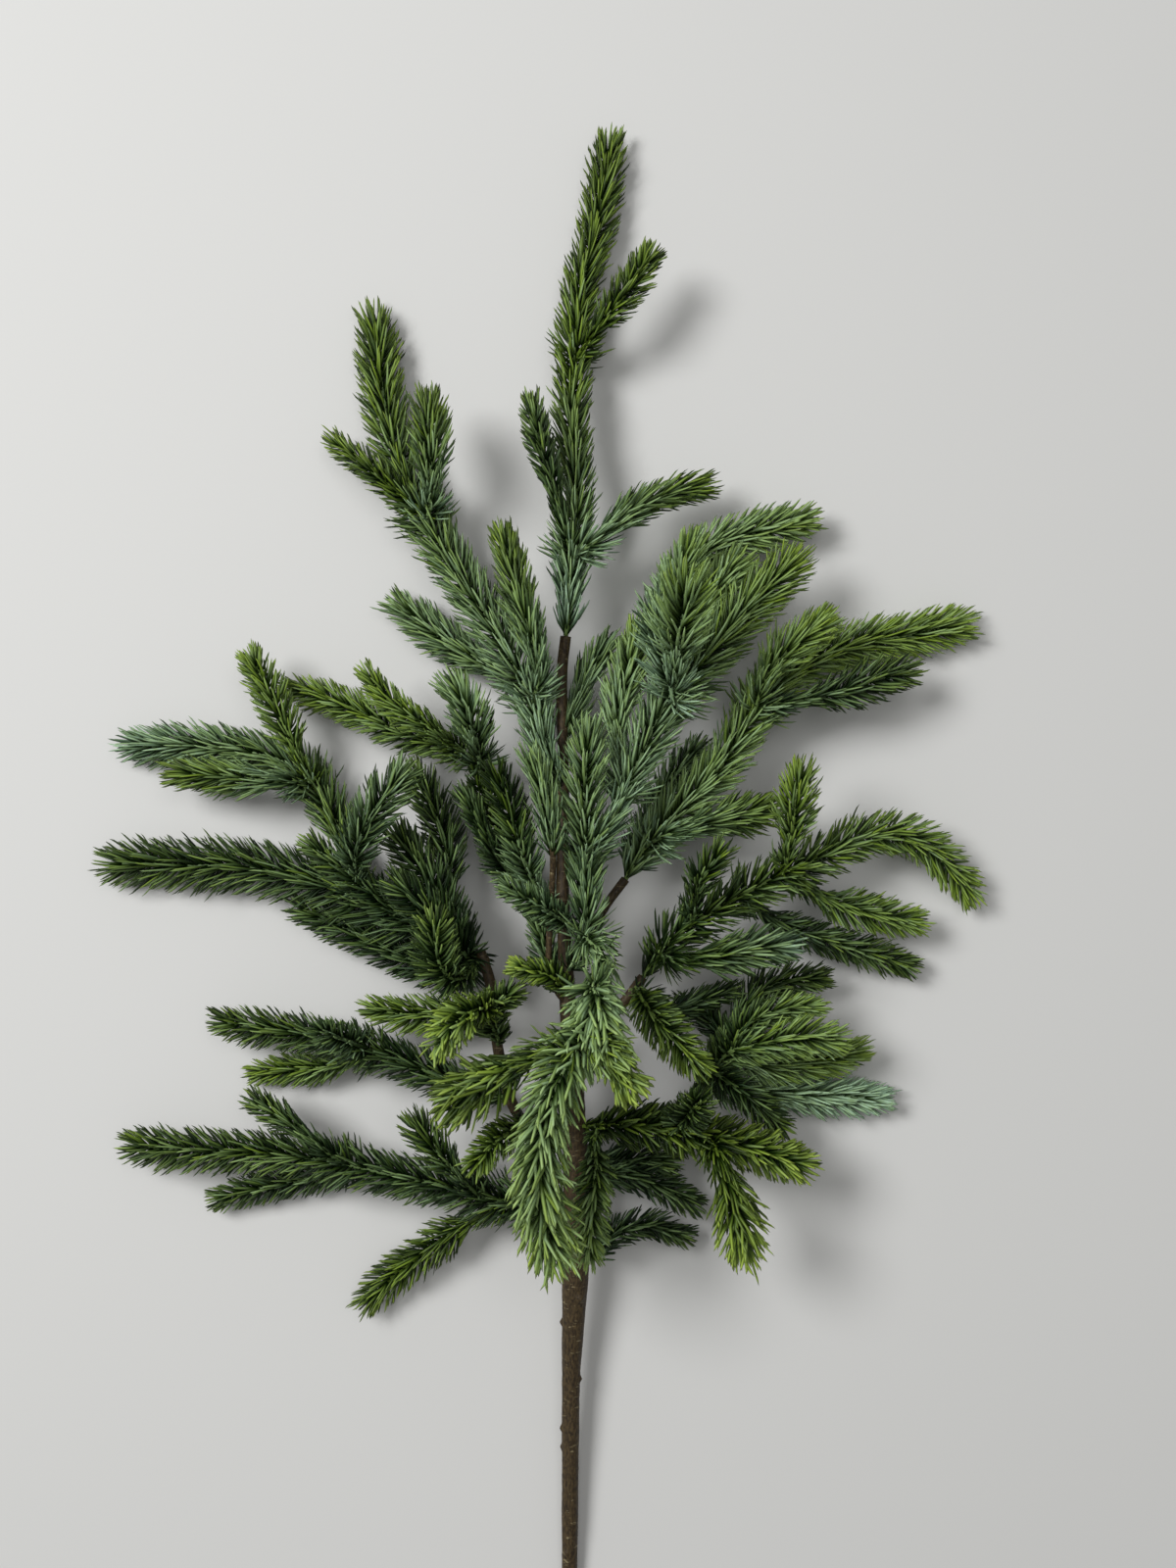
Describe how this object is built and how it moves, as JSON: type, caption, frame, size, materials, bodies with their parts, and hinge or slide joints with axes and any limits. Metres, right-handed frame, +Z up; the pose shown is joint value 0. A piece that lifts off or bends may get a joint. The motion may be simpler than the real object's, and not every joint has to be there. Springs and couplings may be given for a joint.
{
  "type": "blue spruce branch",
  "caption": "Blue spruce branch lying flat: a bare bark-textured stem that forks into side stems and curved shoots thickly set with short needles.",
  "frame": {"origin": "middle of the branch's outline box, on the surface that it lies on", "axes": "+Y along the branch from the cut end of the stem to the leader's tip, +Z up from the surface, +X to the right seen from above with the cut end nearest"},
  "size_m": [0.4664, 0.7774, 0.1159],
  "materials": {
    "bark_brown": "matte, bark-textured",
    "needle_green": "satin, soft moulded"
  },
  "bodies": {
    "root": {"centre_leader": "needle_green", "centre_left_shoot": "needle_green", "centre_low_shoot": "needle_green", "far_left_leader": "needle_green", "far_left_low": "needle_green", "far_left_up": "needle_green", "front_dark": "needle_green", "front_leader": "needle_green", "front_left": "needle_green", "front_right": "needle_green", "inner_left_broad": "needle_green", "inner_left_crown": "needle_green", "inner_left_leader": "needle_green", "inner_left_low": "needle_green", "inner_left_outer": "needle_green", "inner_left_upper": "needle_green", "left_blue": "needle_green", "left_crown": "needle_green", "left_dark": "needle_green", "left_hanging": "needle_green", "left_leader": "needle_green", "left_low_leader": "needle_green", "left_low_under": "needle_green", "left_middle": "needle_green", "left_stem": "bark_brown", "lower_left_down": "needle_green", "lower_left_leader": "needle_green", "lower_left_near": "needle_green", "lower_left_upper": "needle_green", "lower_right_hanging": "needle_green", "lower_right_leader": "needle_green", "main_stem": "bark_brown", "mid_right_blue": "needle_green", "mid_right_leader": "needle_green", "mid_right_low": "needle_green", "mid_right_near": "needle_green", "mid_right_side": "needle_green", "mid_right_stem": "bark_brown", "mid_right_upright": "needle_green", "right_inner": "needle_green", "right_leader": "needle_green", "right_low_blue": "needle_green", "right_low_leader": "needle_green", "right_low_near": "needle_green", "right_low_upper": "needle_green", "right_lower": "needle_green", "right_stem": "bark_brown", "right_upper": "needle_green", "top_leader": "needle_green", "top_left_shoot": "needle_green", "top_right_shoot": "needle_green", "top_upper_shoot": "needle_green", "upper_left_inner": "needle_green", "upper_left_leader": "needle_green", "upper_left_low": "needle_green", "upper_left_near": "needle_green", "upper_right_crown": "needle_green", "upper_right_inner": "needle_green", "upper_right_leader": "needle_green", "upper_right_outer": "needle_green"}
  },
  "joints": []
}
